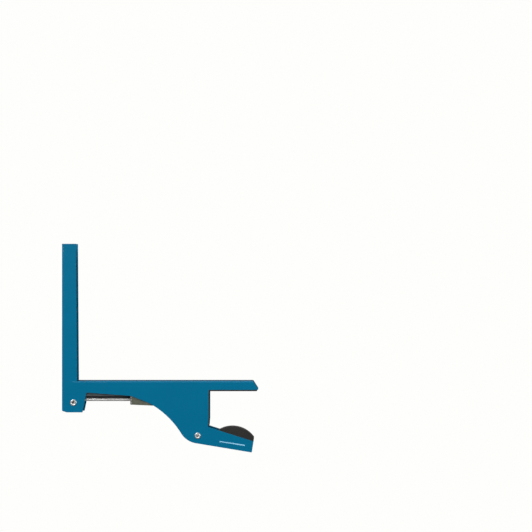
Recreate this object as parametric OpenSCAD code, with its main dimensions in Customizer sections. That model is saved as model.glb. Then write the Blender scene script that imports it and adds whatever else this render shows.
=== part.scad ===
// Table tennis net clamp: a squeeze-handle spring clip that grips the table's
// edge and carries the net post outside it.
// Frame: +X towards the table, +Z up, Y across the clamp. The origin is the
// corner of the throat, where the table's edge (x = 0) meets its playing
// surface (z = 0). All sizes in millimetres.

/* [Body] */
// Overall width of the folded body
body_w = 22; // [21.5:0.5:25]
// Thickness of the body sheet
sheet_t = 1.2; // [1:0.1:1.4]
// Distance from the table's edge to the outer face of the post
overhang = 152.9; // [149.4:0.5:156.9]
// Height of the body's top above the table
body_top = 10.4; // [10.1:0.1:12]
// Outer radius of the fold along the body's top edges
fold_r = 1.5; // [0.8:0.1:1.9]
// Thickness of the rubber facing in the upper jaw and throat
liner_t = 1.1; // [0.8:0.1:1.4]

/* [Net post] */
// Height of the post's top above the table
post_top = 152.5; // [140:0.5:160]
// Depth of the post's section at its foot, along X
post_depth = 15.6; // [14.6:0.2:16.6]
// How much narrower the post is at its top
post_taper = 1; // [0:0.1:2]
// Wall of the post's channel section
post_t = 1.2; // [1:0.1:1.5]

/* [Lever] */
// Outer width of the lever's channel section
lever_w = 18; // [16.5:0.5:18]
// Sheet thickness of the lever
lever_t = 1.5; // [1.2:0.1:1.6]
// Diameter of the handle rod
rod_d = 3.2; // [2.9:0.05:3.4]
// Diameter of the bush that the lever turns on
bush_d = 8; // [7.4:0.1:8.4]

/* [Rubber pad] */
// Radius of the pad's rounded top
pad_r = 27.8; // [27:0.2:28.6]
// Height of the pad's crown, below the table surface
jaw_gap = 37; // [36.8:0.1:38.8]

/* [Spring] */
// Diameter of the spring wire
wire_d = 1.7; // [1.4:0.1:1.8]
// Mean diameter of the spring's coils
coil_d = 10.7; // [10:0.1:11.5]
// Number of coils, with one closed coil at each end
coils = 8.5; // [7.5:0.5:9]

/* [Hidden] */

half_w = body_w / 2;
inner = half_w - sheet_t;              // inner face of the side plates
web_z = body_top - sheet_t;            // underside of the top web
web_x = -overhang + post_depth + 0.6;  // left end of the top web
fold_x = overhang - 10.1;              // the folds start this far left of the table
far = 90;

// Fasteners, in the XZ plane
post_pin = [-overhang + 12, -11.75];
pivot = [-12.4, -46];
post_shank = 2.0;
pivot_shank = 2.5;
pin_play = 0.05;
bush_play = 0.05;
spacer_r = 2.6;

// Profile arcs shared by the side plates and the lever
belly = [-10.72, -32.1];  // centre of the convex arc under the pivot
belly_r = 22;
grip = [-105.5, -90.8];   // centre of the concave arc of the finger grip
grip_a = 61.6;            // where the concave arc ends, in degrees
belly_gap = norm(belly - grip);
join_a = atan2(belly[1] - grip[1], belly[0] - grip[0]);  // the arcs' tangent point
lever_gap = 2;            // how far the lever stays inside the plates' edge

// Lower end of the throat, bent away from the table's edge
throat_bend = -28.5;
throat_in = 0.6;
throat_end = -36.3;       // lower end of the strip and its facing
jaw_t = liner_t + 0.3;    // the facing is thicker under the jaw than in the throat

// Lever
tail_x = -80.7;           // open end of the channel
tail_z = -14.1;           // its underside there
tail_a = 2.6;             // slope of the tail's underside, in degrees
tail_h = 11.1;
arm_a = 3.8;              // slope of the lever's right arm, in degrees
arm_r = belly_r - lever_gap;
arm_0 = belly + arm_r * [cos(270 - arm_a), sin(270 - arm_a)];
arm_x = 44;
pad_pins = [30.4, 46.4];  // the pad's rivets, along the arm
core_t = 1.5;

// Handle rod
rod_a = 0;                // how much the rod rises towards the post, in degrees
rod_p = [-81, -9.3];

// Spring
spring_x = -68;
spring_z0 = tail_z - (spring_x - tail_x) * tan(tail_a) + lever_t / cos(tail_a);
stud_r = 3.9;
stud_h = 3;
tail_r = 1.5;             // riveted tail of the studs

// Light line on the lower jaw
line_0 = [10.2, -51.95];
line_1 = [36.6, -55.95];
line_w = 1.1;
line_depth = 0.4;

blue = [0.02, 0.41, 0.56];
zinc = [0.62, 0.63, 0.60];
bright = [0.85, 0.87, 0.88];
rubber = [0.16, 0.15, 0.15];

function unit(v) = v / norm(v);

// Polygon points with each corner [x, z, radius] rounded to its own radius
function corner(p, q, s, r) = r <= 0 ? [q] :
    let (u = unit(p - q), v = unit(s - q), h = acos(u * v) / 2,
         c = q + unit(u + v) * r / sin(h),
         a = q + u * r / tan(h) - c, b = q + v * r / tan(h) - c,
         a0 = atan2(a[1], a[0]), a1 = atan2(b[1], b[0]),
         d = (a1 - a0 + 540) % 360 - 180, n = max(2, ceil(abs(d) / 15)))
    [for (i = [0 : n]) c + r * [cos(a0 + d * i / n), sin(a0 + d * i / n)]];
function xz(p) = [p[0], p[1]];
// Points along an arc, as [x, z, 0]
function arc(c, r, a0, a1, n) = [for (i = [0 : n]) let (a = a0 + (a1 - a0) * i / n)
    [c[0] + r * cos(a), c[1] + r * sin(a), 0]];
function turned(pts) = [for (i = [len(pts) - 1 : -1 : 0]) pts[i]];
function rounded(pts) = let (n = len(pts))
    [for (i = [0 : n - 1])
        each corner(xz(pts[(i + n - 1) % n]), xz(pts[i]), xz(pts[(i + 1) % n]), pts[i][2])];

// Sweeps a drawing of the XZ plane from y0 to y1
module across(y0, y1)
    rotate([90, 0, 0]) translate([0, 0, -y1]) linear_extrude(height = y1 - y0) children();

// Round bar along Y through a point of the XZ plane
module bar(p, r, y0, y1, fn = 64)
    translate([p[0], y0, p[1]]) rotate([-90, 0, 0]) cylinder(r = r, h = y1 - y0, $fn = fn);

// Side view of the body
module body_side() {
    lx = -overhang + 0.25;
    polygon(turned(rounded(concat([
        [lx, body_top, 0.8],
        [45, body_top, 1.6],
        [50.75, jaw_t, 0.6],
        [-liner_t, jaw_t, 0],
        [-liner_t, throat_bend, 4],
        [-liner_t - 1.08 * throat_in, -36.9, 0.5],
        [45.4, -51.9, 1.0],
        [43.6, -63.4, 0.8]],
        arc(belly, belly_r, 260.6, join_a + 180, 16),
        arc(grip, belly_gap - belly_r, join_a + 0.6, grip_a, 18), [
        [-81, -4.9, 12],
        [lx + 25.1, -1.4, 2],
        [lx + 22.7, -14.5, 5],
        [lx + 21.1, -21.9, 0.6],
        [lx + 5, -21.9, 2.5],
        [lx, -20.3, 1.2]]))));
}

// End view of the body, with the two folds along its top
module body_end()
    for (s = [-1, 1]) {
        translate([-half_w, -far]) square([body_w, far + body_top - fold_r]);
        translate([-half_w + fold_r, -far]) square([body_w - 2 * fold_r, far + body_top]);
        translate([s * (half_w - fold_r), body_top - fold_r]) circle(r = fold_r, $fn = 48);
    }

// Groove or inlay of the light line, centred on its own middle
module line_shape(w) {
    d = line_1 - line_0;
    translate((line_0 + line_1) / 2) rotate(atan2(d[1], d[0])) {
        square([norm(d) - line_w, w], center = true);
        for (s = [-1, 1]) translate([s * (norm(d) - line_w) / 2, 0]) circle(r = w / 2, $fn = 32);
    }
}

// Folded body: two side plates, the top web and the closed nose
module clamp_body() color(blue) difference() {
    intersection() {
        across(-half_w, half_w) body_side();
        union() {
            translate([-fold_x, 0, 0]) rotate([90, 0, 90])
                linear_extrude(height = fold_x + 70) body_end();
            translate([-overhang - 5, -half_w, -far])
                cube([overhang + 6 - fold_x, body_w, 2 * far]);
        }
    }
    across(-inner, inner) polygon([
        [-overhang - 1, -far], [-overhang - 1, far], [web_x, far], [web_x, web_z],
        [44.2, web_z], [48.5, 2.6], [48.5, -far]]);
    bar(post_pin, post_shank + pin_play, -half_w - 1, half_w + 1);
    bar(pivot, pivot_shank + pin_play, -half_w - 1, half_w + 1);
    translate([spring_x, 0, web_z - 1]) cylinder(r = tail_r + pin_play, h = sheet_t + 2, $fn = 48);
    across(-half_w - 1, -half_w + line_depth) line_shape(line_w + 0.06);
    across(half_w - line_depth, half_w + 1) line_shape(line_w + 0.06);
}

// Bent steel strip between the side plates that backs the rubber facing
module throat_plate() color(blue) across(-inner, inner)
    polygon(rounded([
        [-liner_t, jaw_t, 0], [48.3, jaw_t, 0], [48.3, jaw_t + sheet_t, 0.3],
        [-liner_t - sheet_t, jaw_t + sheet_t, 1.5],
        [-liner_t - sheet_t, throat_bend, 4],
        [-liner_t - sheet_t - throat_in, throat_end, 0.3],
        [-liner_t - throat_in, throat_end, 0], [-liner_t, throat_bend, 4]]));

// Rubber facing of the upper jaw and throat
module jaw_liner() color(rubber) across(-half_w + 0.3, half_w - 0.3)
    polygon(rounded([
        [0, 0, 0], [49.1, 0, 0.4], [49.1, jaw_t, 0], [-liner_t, jaw_t, 0],
        [-liner_t, throat_bend, 4], [-liner_t - throat_in, throat_end, 0],
        [-throat_in, throat_end, 0.5], [0, throat_bend, 4]]));

// Outer and inner outlines of the post's channel, open towards the table
module post_section(w, x0, x1, r) {
    translate([x0 + r, -w / 2]) square([x1 - x0 - r, w]);
    translate([x0, -w / 2 + r]) square([x1 - x0, w - 2 * r]);
    for (s = [-1, 1]) translate([x0 + r, s * (w / 2 - r)]) circle(r = r, $fn = 48);
}

module net_post() color(blue) {
    w = 2 * inner - 0.2;
    x0 = -overhang;
    x1 = x0 + post_depth;
    difference() {
        translate([0, 0, -19.5]) linear_extrude(height = post_top + 19.5) difference() {
            post_section(w, x0, x1, 1.2);
            post_section(w - 2 * post_t, x0 + post_t, x1 + 5, 0.3);
        }
        bar(post_pin, post_shank + pin_play, -half_w, half_w);
        if (post_taper > 0) across(-half_w, half_w) polygon([
            [x1, body_top], [x1 + 5, body_top], [x1 + 5, post_top + 1],
            [x1 - post_taper, post_top + 1]]);
    }
}

// Rivet along +Z: a rolled hollow end at z = 0, and at the other end either a
// domed head or a second rolled end
module rivet(shank_r, grip_l, hole_r, both) {
    roll = 1.0;
    dome_h = 1.3;
    dome_r = shank_r + 1.15;
    cap_r = (dome_r * dome_r + dome_h * dome_h) / (2 * dome_h);
    mid = hole_r + roll;
    rotate_extrude($fn = 64) difference() {
        union() {
            square([shank_r, grip_l]);
            intersection() {
                translate([mid, 0]) circle(r = roll, $fn = 32);
                translate([0, -2]) square([10, 2]);
            }
            translate([hole_r + 0.2, -0.2]) square([shank_r - hole_r - 0.2, 0.4]);
            if (both) intersection() {
                translate([mid, grip_l]) circle(r = roll, $fn = 32);
                translate([0, grip_l]) square([10, 2]);
            } else intersection() {
                translate([0, grip_l + dome_h - cap_r]) circle(r = cap_r, $fn = 96);
                translate([0, grip_l]) square([10, 5]);
            }
            translate([hole_r + 0.2, grip_l - 0.2]) square([shank_r - hole_r - 0.2, 0.4]);
        }
        translate([0, -2]) square([hole_r, 7]);
        if (both) translate([0, grip_l - 5]) square([hole_r, 7]);
    }
}

// Pin of the post, drilled and rolled over at both ends
module post_rivet() color(bright)
    translate([post_pin[0], -half_w, post_pin[1]]) rotate([-90, 0, 0])
        rivet(post_shank, body_w, 1.4, true);

// Sleeve between the post's flanges, which the rod comes to rest on
module post_spacer() color(zinc) {
    y = inner - 0.1 - post_t;
    difference() {
        bar(post_pin, spacer_r, -y, y);
        bar(post_pin, post_shank + pin_play, -y - 1, y + 1);
    }
}

module pivot_rivet() color(bright)
    translate([pivot[0], -half_w, pivot[1]]) rotate([-90, 0, 0])
        rivet(pivot_shank, body_w, 1.2, false);

// Sleeve that keeps the plates apart and carries the lever
module pivot_bush() color(zinc) difference() {
    bar(pivot, bush_d / 2, -inner, inner);
    bar(pivot, pivot_shank + pin_play, -inner - 1, inner + 1);
}

// Two plastic washers between the lever and the plates
module pivot_washers() color([0.85, 0.84, 0.8]) {
    y0 = lever_w / 2 + 0.05;
    y1 = inner - 0.05;
    for (s = [0, 1]) mirror([0, s, 0]) difference() {
        bar(pivot, bush_d / 2 + 2.5, y0, y1);
        bar(pivot, bush_d / 2 + bush_play, y0 - 1, y1 + 1);
    }
}

// Underside of the lever, d inside its outer surface, from the right arm to the tail
function lever_belly(d) = let (r = belly_gap - arm_r + d,
        h = d + ([tail_x, tail_z] - grip) * [sin(tail_a), cos(tail_a)])
    concat(arc(belly, arm_r - d, 270 - arm_a, join_a + 180, 16),
           arc(grip, r, join_a + 0.6, 90 - tail_a - acos(h / r), 18));
// Height of the tail's underside, or of a line d above it
function tail_line(x, d) = tail_z - (x - tail_x) * tan(tail_a) + d / cos(tail_a);

// Side view of the lever
module lever_side()
    polygon(turned([for (p = concat([
        [tail_x, tail_z], [tail_x, tail_z + tail_h], [-44, tail_z + tail_h],
        [-22, -27], [-6, -36.5], [0, -39.6], [arm_x, -39.6 - 0.315 * arm_x],
        [arm_x, arm_0[1] - tan(arm_a) * (arm_x - arm_0[0])]],
        lever_belly(0))) xz(p)]));

// Side view of the space inside the channel
module lever_inside() {
    a1 = belly + (arm_r - lever_t) * [cos(270 - arm_a), sin(270 - arm_a)];
    polygon(turned([for (p = concat([
        [tail_x - 5, tail_line(tail_x - 5, lever_t)], [tail_x - 5, 20], [arm_x + 5, 20],
        [arm_x + 5, a1[1] - tan(arm_a) * (arm_x + 5 - a1[0])]],
        lever_belly(lever_t))) xz(p)]));
}

// Places things on the lever's right arm: x along it, z up from its underside
module on_arm() translate([arm_0[0], 0, arm_0[1]]) rotate([0, arm_a, 0]) children();

// Places things on the tail's floor, under the spring
module on_tail() translate([spring_x, 0, spring_z0]) rotate([0, tail_a, 0]) children();

// Folded channel that turns on the bush
module clamp_lever() color(zinc) difference() {
    across(-lever_w / 2, lever_w / 2) lever_side();
    across(-lever_w / 2 + lever_t, lever_w / 2 - lever_t) lever_inside();
    bar(pivot, bush_d / 2 + bush_play, -lever_w, lever_w);
    on_tail() translate([0, 0, -lever_t - 1]) cylinder(r = tail_r + pin_play, h = lever_t + 2, $fn = 48);
    on_arm() for (x = pad_pins)
        translate([x, 0, -1]) cylinder(r = tail_r + pin_play, h = lever_t + 2, $fn = 48);
}

// Places things on the handle rod: z along it, from the end plate to the post
module on_rod() translate([rod_p[0], 0, rod_p[1]]) rotate([0, rod_a - 90, 0]) children();

// Plate that closes the lever's tail, tapped for the rod
module tail_end_plate() color(bright) difference() {
    across(-lever_w / 2, lever_w / 2) polygon(rounded([
        [tail_x, tail_z, 0], [tail_x, tail_z + tail_h, 0],
        [tail_x - 1.5, tail_z + tail_h, 0.5], [tail_x - 1.5, tail_z, 0.5]]));
    on_rod() translate([0, 0, -6]) cylinder(r = rod_d / 2 + 0.02, h = 12, $fn = 48);
}

// Handle bracket, between the post and the end plate
bracket_x = [-overhang + post_depth + 1, tail_x - 1.5];
module bracket_cheek(z0, top)
    polygon([[bracket_x[0], z0 + (bracket_x[1] - bracket_x[0]) * tan(rod_a)], [bracket_x[1], z0],
             [bracket_x[1], top[2]], [-110, top[1]], [bracket_x[0] + 8, top[0]],
             [bracket_x[0], min(top[0], -2.6)]]);

// Bracket that carries the rod: two outer cheeks, a floor between them with a
// rib standing on the rod, and a web next to the post
module handle_bracket() color([0.3, 0.31, 0.31]) difference() {
    union() {
        for (s = [0, 1]) mirror([0, s, 0])
            across(lever_w / 2 - 1.2, lever_w / 2) bracket_cheek(-5.1, [-1.7, -1.2, -3]);
        across(-lever_w / 2 + 1, lever_w / 2 - 1) bracket_cheek(-5.1, [-3.9, -3.9, -3.9]);
        across(-0.6, 0.6) bracket_cheek(-8.6, [-3.9, -3.9, -3.9]);
        across(-lever_w / 2, lever_w / 2) translate([bracket_x[0], -11]) square([1.2, 8.4]);
    }
    on_rod() cylinder(r = rod_d / 2 + 0.02, h = 120, $fn = 48);
}

// Rod that the fingers squeeze up; its end has a flat that rests on the sleeve
module handle_rod() color(bright) {
    r = rod_d / 2;
    l = overhang - 82;
    difference() {
        on_rod() translate([0, 0, -5]) rotate_extrude($fn = 64)
            polygon([[0, 0], [r - 0.4, 0], [r, 0.4], [r, l - 0.5], [r - 0.5, l], [0, l]]);
        translate([-overhang, -5, -20])
            cube([16, 10, 20 + post_pin[1] + spacer_r + 0.08]);
    }
}

// Hexagon nut that locks the rod behind the end plate
module rod_nut() color(zinc)
    on_rod() rotate(30) translate([0, 0, -2.9]) difference() {
        cylinder(r = 2.75 / cos(30), h = 2.4, $fn = 6);
        translate([0, 0, -1]) cylinder(r = rod_d / 2 + 0.02, h = 6, $fn = 48);
    }

// Rubber block with a rounded top
module rubber_pad() color(rubber) {
    y = lever_w / 2 - lever_t - 0.1;
    across(-y, y) intersection() {
        translate([23.3, -jaw_gap - pad_r]) circle(r = pad_r, $fn = 180);
        translate(arm_0) rotate(-arm_a) polygon([
            [19.8, lever_t + core_t], [57.3, lever_t + core_t],
            [57.7, 9.5], [57.4, 60], [20.9, 60], [20.2, 10]]);
    }
}

// Steel plate moulded under the rubber block
module pad_core_plate() color(zinc) {
    y = lever_w / 2 - lever_t - 0.2;
    on_arm() difference() {
        translate([20.9, -y, lever_t]) cube([35, 2 * y, core_t]);
        for (x = pad_pins)
            translate([x, 0, 0]) cylinder(r = tail_r + pin_play, h = 10, $fn = 48);
    }
}

// Two rivets that hold the pad's core plate on the lever
module pad_rivets() color(bright) on_arm() for (x = pad_pins) translate([x, 0, 0])
    rotate_extrude($fn = 48) union() {
        translate([0, -0.01]) square([tail_r, lever_t + core_t - 0.04]);
        intersection() {
            translate([0, 3]) circle(r = 4, $fn = 64);
            translate([0, -1]) square([5, 1]);
        }
    }

// Coil spring as one swept wire; closed coils at both ends, the lower one
// lying on the slope of the tail
spring_h = web_z - spring_z0;
steps = 16;
sides = 8;
closed = wire_d + 0.05;
pitch = (spring_h - wire_d - 2 * closed) / (coils - 2);
function coil_z(t) = closed * min(t, 1) + pitch * min(max(t - 1, 0), coils - 2)
    + closed * max(t - coils + 1, 0);
rings = floor(coils * steps);
function wire_points() = [for (i = [0 : rings], j = [0 : sides - 1])
    let (t = i / steps, a = 360 * t, b = 360 * j / sides,
         x = (coil_d / 2 + wire_d / 2 * cos(b)) * cos(a), y = (coil_d / 2 + wire_d / 2 * cos(b)) * sin(a),
         h = wire_d / 2 + coil_z(t) + wire_d / 2 * sin(b))
    [spring_x + x, y, spring_z0 + h - x * tan(tail_a) * (1 - h / spring_h)]];
function wire_faces() = concat(
    [[for (j = [sides - 1 : -1 : 0]) j]],
    [for (i = [0 : rings - 1], j = [0 : sides - 1]) let (k = (j + 1) % sides)
        [i * sides + j, i * sides + k, (i + 1) * sides + k, (i + 1) * sides + j]],
    [[for (j = [0 : sides - 1]) rings * sides + j]]);

module clamp_spring() color(zinc) polyhedron(points = wire_points(), faces = wire_faces(), convexity = 10);

// Stud under the top web that centres the spring
module spring_stud() color(zinc) translate([spring_x, 0, web_z]) rotate_extrude($fn = 64)
    polygon([[0, -stud_h], [stud_r - 0.6, -stud_h], [stud_r, -stud_h + 0.6], [stud_r, 0],
             [tail_r, 0], [tail_r, sheet_t], [0, sheet_t]]);

// Stud on the lever's tail that centres the spring
module spring_seat() color(zinc) on_tail() rotate_extrude($fn = 64)
    polygon([[0, stud_h], [stud_r - 0.6, stud_h], [stud_r, stud_h - 0.6], [stud_r, 0],
             [tail_r, 0], [tail_r, -lever_t], [0, -lever_t]]);

// Light enamel line in a groove on both side plates
module index_line() color([0.75, 0.9, 0.98]) for (s = [0, 1]) mirror([0, s, 0])
    across(half_w - line_depth, half_w - 0.02) line_shape(line_w);

clamp_body();
throat_plate();
jaw_liner();
net_post();
post_rivet();
post_spacer();
pivot_rivet();
pivot_bush();
pivot_washers();
clamp_lever();
tail_end_plate();
handle_bracket();
handle_rod();
rod_nut();
rubber_pad();
pad_core_plate();
pad_rivets();
clamp_spring();
spring_stud();
spring_seat();
index_line();
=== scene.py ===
import math

import bpy
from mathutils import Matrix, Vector


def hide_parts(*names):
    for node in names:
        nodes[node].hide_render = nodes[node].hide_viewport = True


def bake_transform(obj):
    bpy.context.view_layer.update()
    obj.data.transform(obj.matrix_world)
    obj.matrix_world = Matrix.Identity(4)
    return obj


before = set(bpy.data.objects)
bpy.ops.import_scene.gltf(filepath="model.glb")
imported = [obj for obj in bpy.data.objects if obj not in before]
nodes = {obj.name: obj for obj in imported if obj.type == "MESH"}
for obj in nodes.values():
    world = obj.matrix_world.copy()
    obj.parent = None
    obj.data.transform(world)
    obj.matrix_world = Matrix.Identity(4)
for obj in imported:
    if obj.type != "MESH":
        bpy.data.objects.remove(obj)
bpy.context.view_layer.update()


# ---------------------------------------------------------------- materials

class Mat:
    """A node material, built up one texture at a time. Lengths are in metres."""

    def __init__(self, name):
        self.mat = bpy.data.materials.new(name)
        self.mat.use_nodes = True
        self.tree = self.mat.node_tree
        self.tree.nodes.clear()
        out = self.node("ShaderNodeOutputMaterial")
        self.bsdf = self.node("ShaderNodeBsdfPrincipled")
        self.tree.links.new(self.bsdf.outputs["BSDF"], out.inputs["Surface"])
        self.co = self.node("ShaderNodeTexCoord").outputs["Object"]
        self.height = None

    def node(self, kind, **props):
        n = self.tree.nodes.new(kind)
        for k, v in props.items():
            setattr(n, k, v)
        return n

    def put(self, socket, value):
        if isinstance(value, bpy.types.NodeSocket):
            self.tree.links.new(value, socket)
        elif hasattr(value, "__len__") and len(value) == 3 and socket.type == "RGBA":
            socket.default_value = (*value, 1)
        else:
            socket.default_value = value

    def set(self, **sockets):
        for k, v in sockets.items():
            self.put(self.bsdf.inputs[k.replace("_", " ")], v)
        return self

    def stretched(self, sx, sy, sz, turn=(0, 0, 0)):
        m = self.node("ShaderNodeMapping")
        self.put(m.inputs["Vector"], self.co)
        m.inputs["Rotation"].default_value = turn
        m.inputs["Scale"].default_value = (sx, sy, sz)
        return m.outputs["Vector"]

    def noise(self, scale, detail=2.0, roughness=0.5, distortion=0.0, co=None):
        n = self.node("ShaderNodeTexNoise")
        self.put(n.inputs["Vector"], co or self.co)
        n.inputs["Scale"].default_value = scale
        n.inputs["Detail"].default_value = detail
        n.inputs["Roughness"].default_value = roughness
        n.inputs["Distortion"].default_value = distortion
        return n.outputs["Fac"]

    def cells(self, scale, feature="F1", co=None):
        n = self.node("ShaderNodeTexVoronoi", feature=feature)
        self.put(n.inputs["Vector"], co or self.co)
        n.inputs["Scale"].default_value = scale
        return n.outputs["Distance"]

    def span(self, value, a, b, c=0.0, d=1.0):
        n = self.node("ShaderNodeMapRange", clamp=True)
        for i, v in enumerate((value, a, b, c, d)):
            self.put(n.inputs[i], v)
        return n.outputs[0]

    def math(self, op, a, b=0.0):
        n = self.node("ShaderNodeMath", operation=op)
        self.put(n.inputs[0], a)
        self.put(n.inputs[1], b)
        return n.outputs[0]

    def mix(self, fac, a, b):
        n = self.node("ShaderNodeMix", data_type="RGBA")
        self.put(n.inputs[0], fac)
        self.put(n.inputs[6], a)
        self.put(n.inputs[7], b)
        return n.outputs[2]

    def edges(self, radius, low, high):
        """1 along the outer edges, 0 on open faces."""
        bevel = self.node("ShaderNodeBevel", samples=6)
        bevel.inputs["Radius"].default_value = radius
        geo = self.node("ShaderNodeNewGeometry")
        dot = self.node("ShaderNodeVectorMath", operation="DOT_PRODUCT")
        self.put(dot.inputs[0], bevel.outputs["Normal"])
        self.put(dot.inputs[1], geo.outputs["True Normal"])
        return self.span(dot.outputs["Value"], high, low)

    def bump(self, height, distance, strength=1.0):
        n = self.node("ShaderNodeBump")
        n.inputs["Strength"].default_value = strength
        n.inputs["Distance"].default_value = distance
        self.put(n.inputs["Height"], height)
        if self.height is not None:
            self.put(n.inputs["Normal"], self.height)
        self.height = n.outputs["Normal"]
        self.put(self.bsdf.inputs["Normal"], self.height)


def blue_enamel():
    m = Mat("blue_enamel")
    tone = m.span(m.noise(35, 3), 0.3, 0.7)
    base = m.mix(tone, (0.0006, 0.143, 0.270), (0.0010, 0.150, 0.284))
    # Painted edge highlight: the paint is lightened along the edges, broken up by noise, to stand in for light
    # catching the folded and cut edges.
    painted_edge_highlight = m.math("MULTIPLY", m.edges(0.0006, 0.80, 0.985), m.span(m.noise(420, 4, 0.6), 0.38, 0.62, 0.25, 1.0))
    base = m.mix(m.math("MULTIPLY", painted_edge_highlight, 0.30), base, (0.05, 0.24, 0.36))
    rough = m.span(m.noise(900, 3), 0.3, 0.7, 0.15, 0.22)
    m.set(Base_Color=base, Roughness=rough)
    m.bsdf.inputs["Specular IOR Level"].default_value = 0.30
    m.bump(m.noise(260, 2), 0.00005, 0.25)
    m.bump(m.noise(1500, 3, 0.55), 0.000015, 0.40)
    return m.mat


def zinc():
    m = Mat("zinc_plate")
    cloud = m.noise(120, 5, 0.6, 0.4)
    grain = m.noise(260, 4, 0.6, co=m.stretched(0.18, 1, 1))
    base = m.mix(m.span(cloud, 0.3, 0.7), (0.108, 0.115, 0.086), (0.174, 0.178, 0.140))
    # Painted edge highlight: the zinc is lightened along the edges.
    base = m.mix(m.math("MULTIPLY", m.edges(0.0004, 0.8, 0.985), 0.5), base, (0.5, 0.5, 0.48))
    m.set(Base_Color=base, Roughness=m.span(grain, 0.25, 0.75, 0.42, 0.60), Metallic=1.0)
    m.bump(grain, 0.00004, 0.4)
    m.bump(m.noise(1600, 3), 0.00002, 0.5)
    return m.mat


def nickel(name, along, shine=1.0, painted_light_gain=1.0):
    """Bright plated steel; along is the scale that stretches the drawing marks, and gain brightens the base
    colour as painted light.
    """
    m = Mat(name)
    marks = m.noise(2600, 4, 0.6, co=m.stretched(*along))
    spots = m.span(m.noise(700, 4, 0.65), 0.58, 0.75)
    low, high = ([c * painted_light_gain for c in rgb] for rgb in ((0.60, 0.61, 0.60), (0.74, 0.74, 0.72)))
    base = m.mix(m.span(marks, 0.3, 0.7), low, high)
    base = m.mix(m.math("MULTIPLY", spots, 0.25), base, (0.34, 0.33, 0.30))
    m.set(Base_Color=base, Roughness=m.span(marks, 0.25, 0.75, 0.20, 0.36), Metallic=shine)
    m.bump(marks, 0.00002, 0.35)
    return m.mat


def dark_steel():
    m = Mat("dark_steel")
    cloud = m.noise(300, 4, 0.6)
    # Painted shade: the bracket fills the dark band above the handle rod and is coloured darker than plated
    # steel, to stand in for the shade there.
    base = m.mix(m.span(cloud, 0.3, 0.7), (0.052, 0.060, 0.062), (0.078, 0.088, 0.090))
    # Painted edge highlight: lighter along the edges.
    base = m.mix(m.math("MULTIPLY", m.edges(0.0004, 0.8, 0.985), 0.35), base, (0.20, 0.20, 0.19))
    m.set(Base_Color=base, Roughness=m.span(m.noise(1200, 3), 0.3, 0.7, 0.42, 0.58), Metallic=0.4)
    m.bump(m.noise(1400, 3), 0.00003, 0.5)
    return m.mat


def spring_steel():
    m = Mat("spring_steel")
    marks = m.noise(900, 4, 0.6)
    base = m.mix(m.span(marks, 0.3, 0.7), (0.12, 0.12, 0.125), (0.21, 0.21, 0.205))
    m.set(Base_Color=base, Roughness=m.span(marks, 0.25, 0.75, 0.26, 0.42), Metallic=1.0)
    m.bump(m.noise(2600, 3), 0.00002, 0.4)
    return m.mat


def rubber():
    m = Mat("moulded_rubber")
    cloud = m.noise(90, 4, 0.6)
    specks = m.span(m.noise(1500, 3, 0.6), 0.60, 0.72)
    base = m.mix(m.span(cloud, 0.3, 0.7), (0.0125, 0.0120, 0.0115), (0.0200, 0.0185, 0.0170))
    base = m.mix(m.math("MULTIPLY", specks, 0.4), base, (0.062, 0.056, 0.050))
    # Painted edge highlight: the rubber is lightened to a brownish grey along its edges, broken up by noise, to
    # stand in for light on the rounded edges.
    painted_edge_highlight = m.math("MULTIPLY", m.edges(0.0009, 0.8, 0.985), m.span(m.noise(500, 4), 0.35, 0.65))
    base = m.mix(m.math("MULTIPLY", painted_edge_highlight, 0.35), base, (0.095, 0.080, 0.066))
    m.set(Base_Color=base, Roughness=m.span(m.noise(1200, 3), 0.3, 0.7, 0.66, 0.84))
    m.bsdf.inputs["Specular IOR Level"].default_value = 0.35
    m.bump(m.noise(700, 3), 0.00008, 0.5)
    m.bump(m.noise(3000, 3), 0.00003, 0.5)
    return m.mat


def light_enamel():
    m = Mat("light_enamel")
    # A flat light blue for the thin index line strip along the lower jaw.
    base = m.mix(m.span(m.noise(300, 3), 0.3, 0.7), (0.24, 0.56, 0.79), (0.29, 0.61, 0.83))
    m.set(Base_Color=base, Roughness=m.span(m.noise(1500, 2), 0.3, 0.7, 0.32, 0.45))
    m.bump(m.noise(1600, 3), 0.00002, 0.4)
    return m.mat


def nylon():
    m = Mat("natural_nylon")
    base = m.mix(m.span(m.noise(200, 3), 0.3, 0.7), (0.62, 0.60, 0.51), (0.72, 0.70, 0.62))
    m.set(Base_Color=base, Roughness=m.span(m.noise(1200, 2), 0.3, 0.7, 0.42, 0.55))
    m.bump(m.noise(1800, 3), 0.00002, 0.4)
    return m.mat


BLUE = blue_enamel()
ZINC = zinc()
ROD = nickel("drawn_nickel", (0.08, 1, 1), 0.25, 1.0)
NICKEL = nickel("plated_nickel", (1, 1, 1))
# The rivets get a 5% brighter nickel (gain 1.05): painted light, standing in for the bright surroundings their
# rolled ends reflect.
RIVET = nickel("rivet_nickel", (1, 1, 1), 0.65, 1.05)
DARK = dark_steel()
WIRE = spring_steel()
RUBBER = rubber()
LINE = light_enamel()
NYLON = nylon()

FINISH = {
    "clamp_body": BLUE, "throat_plate": BLUE, "net_post": BLUE,
    "jaw_liner": RUBBER, "rubber_pad": RUBBER,
    "post_rivet": RIVET, "pivot_rivet": RIVET, "pad_rivets": RIVET, "tail_end_plate": NICKEL,
    "handle_rod": ROD,
    "handle_bracket": DARK,
    "post_spacer": ZINC, "pivot_bush": ZINC, "clamp_lever": ZINC, "rod_nut": ZINC,
    "pad_core_plate": ZINC, "spring_stud": ZINC, "spring_seat": ZINC,
    "pivot_washers": NYLON, "index_line": LINE, "clamp_spring": WIRE,
}
for name, mat in FINISH.items():
    me = nodes[name].data
    me.materials.clear()
    me.materials.append(mat)

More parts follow.
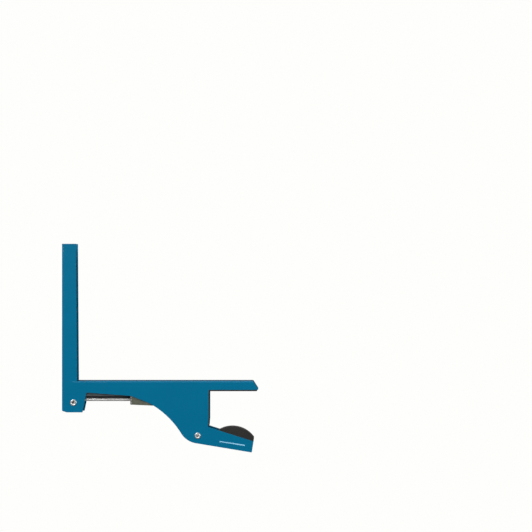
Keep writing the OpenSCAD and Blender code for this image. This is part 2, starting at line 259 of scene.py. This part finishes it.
# Small rounded edges, as a deburred sheet or a moulded block has. Width in mm.
EDGE = {
    "clamp_body": 0.22, "net_post": 0.22, "throat_plate": 0.15, "jaw_liner": 0.2,
    "clamp_lever": 0.22, "tail_end_plate": 0.2, "handle_bracket": 0.15, "rubber_pad": 0.45,
    "pad_core_plate": 0.1, "rod_nut": 0.12, "post_spacer": 0.12, "pivot_bush": 0.12,
}
for name, width in EDGE.items():
    o = nodes[name]
    weld = o.modifiers.new("weld", "WELD")
    weld.merge_threshold = 2e-5
    flat = o.modifiers.new("flat", "DECIMATE")
    flat.decimate_type = "DISSOLVE"
    flat.angle_limit = math.radians(0.4)
    bev = o.modifiers.new("edge", "BEVEL")
    bev.width = width * 0.001
    bev.segments = 3
    bev.limit_method = "ANGLE"
    bev.angle_limit = math.radians(40)
    bev.use_clamp_overlap = True
    bev.harden_normals = True
    bev.miter_outer = "MITER_ARC"


# ---------------------------------------------------------------- the spring, as a smooth wire

def coil_spring():
    """The CAD spring's own helix with a round wire and ground ends. Lengths in mm."""
    x0, top, low, wire, mean, turns = -68.0, 9.18, -13.15, 1.7, 10.7, 8.5
    slope = math.tan(math.radians(2.6))
    steps, sides = 40, 16
    closed = wire + 0.05
    first = 0.28 * wire
    height = top - low
    pitch = (height - 2 * first - 2 * closed) / (turns - 2)
    verts, faces = [], []
    rings = int(turns * steps)
    for i in range(rings + 1):
        t = i / steps
        a = 2 * math.pi * t
        rise = closed * min(t, 1) + pitch * min(max(t - 1, 0), turns - 2) + closed * max(t - turns + 1, 0)
        for j in range(sides):
            b = 2 * math.pi * j / sides
            radius = mean / 2 + wire / 2 * math.cos(b)
            x, y = radius * math.cos(a), radius * math.sin(a)
            h = min(max(first + rise + wire / 2 * math.sin(b), 0.0), height)
            z = low + h - x * slope * (1 - h / height)
            verts.append(((x0 + x) * 0.001, y * 0.001, z * 0.001))
    for i in range(rings):
        for j in range(sides):
            k = (j + 1) % sides
            faces.append((i * sides + j, i * sides + k, (i + 1) * sides + k, (i + 1) * sides + j))
    faces.append(tuple(range(sides - 1, -1, -1)))
    faces.append(tuple(rings * sides + j for j in range(sides)))
    me = bpy.data.meshes.new("coil_spring")
    me.from_pydata(verts, [], faces)
    me.polygons.foreach_set("use_smooth", [len(f) == 4 for f in faces])
    me.update()
    me.materials.append(WIRE)
    o = bpy.data.objects.new("coil_spring", me)
    bpy.context.scene.collection.objects.link(o)
    return o


spring = coil_spring()
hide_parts("clamp_spring")
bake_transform(spring)


# ---------------------------------------------------------------- camera, light, stage

scene = bpy.context.scene
scene.view_settings.view_transform = "Standard"
scene.view_settings.look = "None"

REF = Vector((0.0583, -0.011, 0.1295))
DIST = 1.8
cam = bpy.data.cameras.new("camera")
cam.sensor_width = 36
cam.lens = 36 * DIST / (532 * 0.001034)
cam.clip_end = 100
cam_ob = bpy.data.objects.new("camera", cam)
scene.collection.objects.link(cam_ob)
cam_ob.location = REF - Vector((0, DIST, 0))
cam_ob.rotation_euler = (math.radians(90), 0, 0)
scene.camera = cam_ob


def softbox(name, at, size, power, target=(-0.05, 0, 0.03)):
    light = bpy.data.lights.new(name, "AREA")
    light.shape = "RECTANGLE"
    light.size, light.size_y = size
    light.energy = power
    o = bpy.data.objects.new(name, light)
    o.location = at
    o.rotation_euler = (Vector(target) - Vector(at)).to_track_quat("-Z", "Y").to_euler()
    scene.collection.objects.link(o)
    return o


softbox("key", (-1.2, -1.6, 1.5), (1.3, 1.3), 36)
softbox("fill", (1.3, -1.8, 0.15), (0.8, 0.8), 15)
softbox("front", (-0.3, -2.15, 0.82), (1.0, 0.3), 15)
softbox("top", (0.0, 0.1, 2.2), (1.4, 1.0), 4)
softbox("back_left", (-1.0, 1.5, 1.9), (1.2, 1.2), 18)
softbox("back_right", (1.2, 1.5, 1.7), (1.2, 1.2), 14)

world = bpy.data.worlds.new("studio")
scene.world = world
world.use_nodes = True
wt = world.node_tree
wt.nodes.clear()
wout = wt.nodes.new("ShaderNodeOutputWorld")
seen = wt.nodes.new("ShaderNodeBackground")
seen.inputs["Color"].default_value = (0.991, 0.991, 0.973, 1)
lit = wt.nodes.new("ShaderNodeBackground")
lit.inputs["Color"].default_value = (1, 1, 1, 1)
path = wt.nodes.new("ShaderNodeLightPath")
both = wt.nodes.new("ShaderNodeMixShader")
wt.links.new(path.outputs["Is Camera Ray"], both.inputs[0])
wt.links.new(lit.outputs[0], both.inputs[1])
wt.links.new(seen.outputs[0], both.inputs[2])
wt.links.new(both.outputs[0], wout.inputs["Surface"])
wco = wt.nodes.new("ShaderNodeTexCoord")
split = wt.nodes.new("ShaderNodeSeparateXYZ")
wt.links.new(wco.outputs["Generated"], split.inputs[0])
up = wt.nodes.new("ShaderNodeMapRange")
up.interpolation_type = "SMOOTHSTEP"
wt.links.new(split.outputs["Z"], up.inputs["Value"])
for i, v in enumerate((0.1, 0.9, 0.05, 0.35)):
    up.inputs[i + 1].default_value = v
wt.links.new(up.outputs[0], lit.inputs["Strength"])

floor_me = bpy.data.meshes.new("floor")
floor_me.from_pydata([(-30, -30, -0.65), (30, -30, -0.65), (30, 30, -0.65), (-30, 30, -0.65)], [], [(0, 1, 2, 3)])
floor = bpy.data.objects.new("floor", floor_me)
scene.collection.objects.link(floor)
fmat = bpy.data.materials.new("pale_floor")
fmat.use_nodes = True
ft = fmat.node_tree
ft.nodes.clear()
fout = ft.nodes.new("ShaderNodeOutputMaterial")
fdiff = ft.nodes.new("ShaderNodeBsdfDiffuse")
fdiff.inputs["Color"].default_value = (0.12, 0.12, 0.117, 1)
fglow = ft.nodes.new("ShaderNodeEmission")
fglow.inputs["Color"].default_value = (0.991, 0.991, 0.973, 1)
fpath = ft.nodes.new("ShaderNodeLightPath")
fmix = ft.nodes.new("ShaderNodeMixShader")
ft.links.new(fpath.outputs["Is Camera Ray"], fmix.inputs[0])
ft.links.new(fdiff.outputs[0], fmix.inputs[1])
ft.links.new(fglow.outputs[0], fmix.inputs[2])
ft.links.new(fmix.outputs[0], fout.inputs["Surface"])
floor_me.materials.append(fmat)
